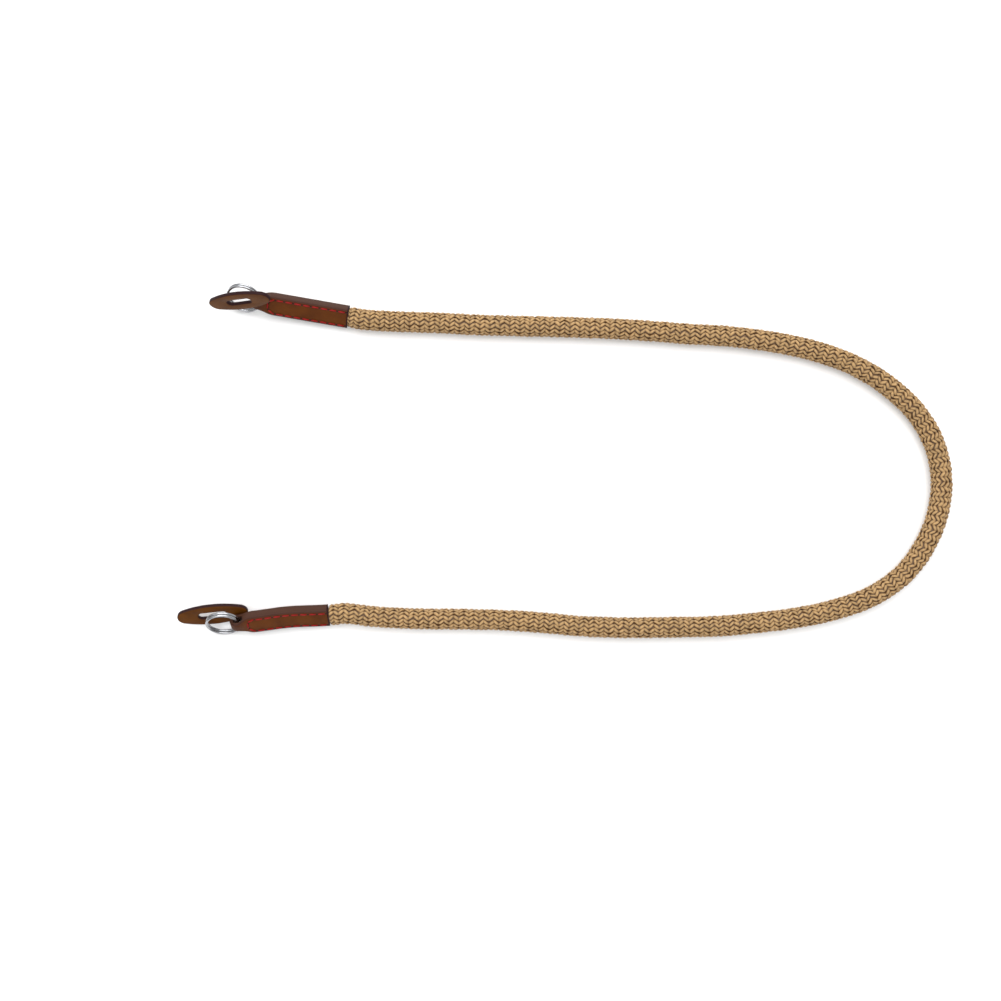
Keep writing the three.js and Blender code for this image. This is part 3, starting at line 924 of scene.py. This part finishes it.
def ring_mesh(name):
    """The ring's wire, drawn round from its first end to its last, in the ring's own frame."""
    radius = (RING_DIAMETER - WIRE_DIAMETER) / 2
    step = math.radians(STEP_ANGLE)
    sweep = 4 * math.pi - ENDS_APART * step
    lift = WIRE_DIAMETER + TURN_GAP

    def height(turn):
        """How high the wire is after this turn: half a step down, a smooth rise, half a step up."""
        share = min(1, max(0, (turn - 2 * math.pi + step) / step))
        return (share * share * (3 - 2 * share) - 0.5) * lift

    bpy.ops.mesh.primitive_circle_add(
        vertices=WIRE_SIDES, radius=WIRE_DIAMETER / 2, fill_type="NGON", rotation=(math.pi / 2, 0, 0),
        location=(radius, 0, height(0)),
    )
    bpy.ops.object.transform_apply(location=True, rotation=True, scale=True)
    ring = bpy.context.object
    ring.name = name
    edit(ring)
    bpy.ops.mesh.select_all(action="SELECT")
    for i in range(RING_STEPS):
        rise = height(sweep * (i + 1) / RING_STEPS) - height(sweep * i / RING_STEPS)
        bpy.ops.mesh.extrude_region_move(TRANSFORM_OT_translate={"value": (0, 0, rise)})
        bpy.ops.transform.rotate(value=-sweep / RING_STEPS, orient_axis="Z", center_override=(0, 0, 0))
    bpy.ops.mesh.select_all(action="SELECT")
    bpy.ops.mesh.normals_make_consistent(inside=False)
    bpy.ops.object.mode_set(mode="OBJECT")
    round_edges(ring, WIRE_ROUNDING, WIRE_SEGMENTS, WIRE_CUT_ANGLE)
    shade_smooth(ring, WIRE_SHADE_ANGLE)
    return ring


def steel_material():
    """Bright nickel plate with faint rubbing marks."""
    steel = bpy.data.materials.new("nickel_plate")
    place, marks, rough, bump, shader = add_nodes(steel, "TexCoord", "TexNoise", "MapRange", "Bump")
    link = steel.node_tree.links.new
    marks.inputs["Scale"].default_value = 1200
    marks.inputs["Detail"].default_value = 5
    link(place.outputs["Object"], marks.inputs["Vector"])
    rough.inputs["To Min"].default_value = 0.1
    rough.inputs["To Max"].default_value = 0.24
    link(marks.outputs["Fac"], rough.inputs["Value"])
    link(rough.outputs["Result"], shader.inputs["Roughness"])
    bump.inputs["Distance"].default_value = 0.00001
    link(marks.outputs["Fac"], bump.inputs["Height"])
    link(bump.outputs["Normal"], shader.inputs["Normal"])
    shader.inputs["Base Color"].default_value = STEEL_GREY
    shader.inputs["Metallic"].default_value = 1
    return steel


steel = steel_material()
for side, end in ENDS.items():
    ring = ring_mesh("ring_" + side)
    ring.data.materials.append(steel)
    low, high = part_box("split_ring_" + side)
    centre = (Vector(low) + Vector(high)) / 2
    put_in_place(ring, Matrix.Translation(centre) @ turned(*RING_TURN, end["heading"]))
    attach(ring, "root")
    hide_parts("split_ring_" + side)

# Guard tabs. A long oval of thick brown leather with a slot along its middle, cut with a die and painted
# dark round the edge. It lies at the ring and keeps the steel from rubbing on what the strap carries.
TAB_LENGTH = 0.030
TAB_WIDTH = 0.011
TAB_THICKNESS = 0.0018
TAB_END_RADIUS = 0.0036
TAB_ROUNDING = 0.0004
TAB_SEGMENTS = 3
TAB_POINTS = 96
MERGE_DISTANCE = 0.000005
TAB_SHADE_ANGLE = 40
SLOT_LENGTH = 0.012
SLOT_WIDTH = 0.0034
END_CENTRE = TAB_LENGTH / 2 - TAB_END_RADIUS
SLOT_END_CENTRE = (SLOT_LENGTH - SLOT_WIDTH) / 2
CHORDS = END_CENTRE**2 + (TAB_WIDTH / 2) ** 2 - TAB_END_RADIUS**2
SIDE_RADIUS = CHORDS / (TAB_WIDTH - 2 * TAB_END_RADIUS)
ARCS_MEET = SIDE_RADIUS * math.sin(math.atan2(END_CENTRE, SIDE_RADIUS - TAB_WIDTH / 2))
TAB_TURNS = {"upper": (66, -24, 12), "lower": (42, 5.3, 0.7)}
TAB_BROWN = (0.098, 0.031, 0.002, 1)
TAB_DARK = (0.071, 0.022, 0.0018, 1)


def tab_half_width(x):
    """Half the tab's width at x: a long flat arc, and a smaller one at each end."""
    if abs(x) <= ARCS_MEET:
        return TAB_WIDTH / 2 - SIDE_RADIUS + math.sqrt(SIDE_RADIUS**2 - x * x)
    return math.sqrt(max(0, TAB_END_RADIUS**2 - (abs(x) - END_CENTRE) ** 2))


def slot_half_width(x):
    """Half the slot's width at x: straight sides and round ends."""
    past = max(0, abs(x) - SLOT_END_CENTRE)
    return math.sqrt(max(0, (SLOT_WIDTH / 2) ** 2 - past**2))


def from_cut(x, y):
    """How far a point of the tab's face is from the nearer cut, the outline or the slot."""
    if abs(x) <= ARCS_MEET:
        outline = SIDE_RADIUS - math.hypot(x, abs(y) + SIDE_RADIUS - TAB_WIDTH / 2)
    else:
        outline = TAB_END_RADIUS - math.hypot(abs(x) - END_CENTRE, y)
    slot = math.hypot(max(0, abs(x) - SLOT_END_CENTRE), y) - SLOT_WIDTH / 2
    return min(outline, slot)


def tab_mesh(name):
    """The leather of one tab, flat about its own middle."""
    top = (0, 0, TAB_THICKNESS / 2)
    bpy.ops.mesh.primitive_circle_add(vertices=TAB_POINTS, radius=TAB_LENGTH / 2, location=top)
    bpy.ops.object.transform_apply(location=True, rotation=True, scale=True)
    tab = bpy.context.object
    tab.name = name
    edit(tab)
    bpy.ops.mesh.primitive_circle_add(vertices=TAB_POINTS, radius=SLOT_LENGTH / 2, location=top)
    bpy.ops.object.mode_set(mode="OBJECT")
    for vertex in tab.data.vertices:
        outer = vertex.index < TAB_POINTS
        half = (tab_half_width if outer else slot_half_width)(vertex.co.x)
        vertex.co.y = math.copysign(half, vertex.co.y)
    edit(tab)
    bpy.ops.mesh.select_all(action="SELECT")
    bpy.ops.mesh.bridge_edge_loops()
    bpy.ops.mesh.select_all(action="SELECT")
    bpy.ops.mesh.extrude_region_move(TRANSFORM_OT_translate={"value": (0, 0, -TAB_THICKNESS)})
    bpy.ops.mesh.select_all(action="SELECT")
    bpy.ops.mesh.remove_doubles(threshold=MERGE_DISTANCE)
    bpy.ops.mesh.normals_make_consistent(inside=False)
    bpy.ops.object.mode_set(mode="OBJECT")
    round_edges(tab, TAB_ROUNDING, TAB_SEGMENTS, CUT_ANGLE)
    paint = tab.data.attributes.new("paint", "FLOAT", "POINT")
    for vertex in tab.data.vertices:
        depth = from_cut(vertex.co.x, vertex.co.y) / TAB_ROUNDING
        paint.data[vertex.index].value = paint_share(depth)
    shade_smooth(tab, TAB_SHADE_ANGLE)
    return tab


tab_hide = leather_material("tab_leather", TAB_BROWN, TAB_DARK, EDGE_LINE_AND_GROOVE_SHADE)[0]
for side, end in ENDS.items():
    tab = tab_mesh("tab_" + side)
    tab.data.materials.append(tab_hide)
    low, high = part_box("guard_tab_" + side)
    centre = (Vector(low) + Vector(high)) / 2
    about_x, about_y, about_z = TAB_TURNS[side]
    put_in_place(tab, Matrix.Translation(centre) @ turned(about_x, about_y, about_z + end["heading"]))
    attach(tab, "root")
    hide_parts("guard_tab_" + side)
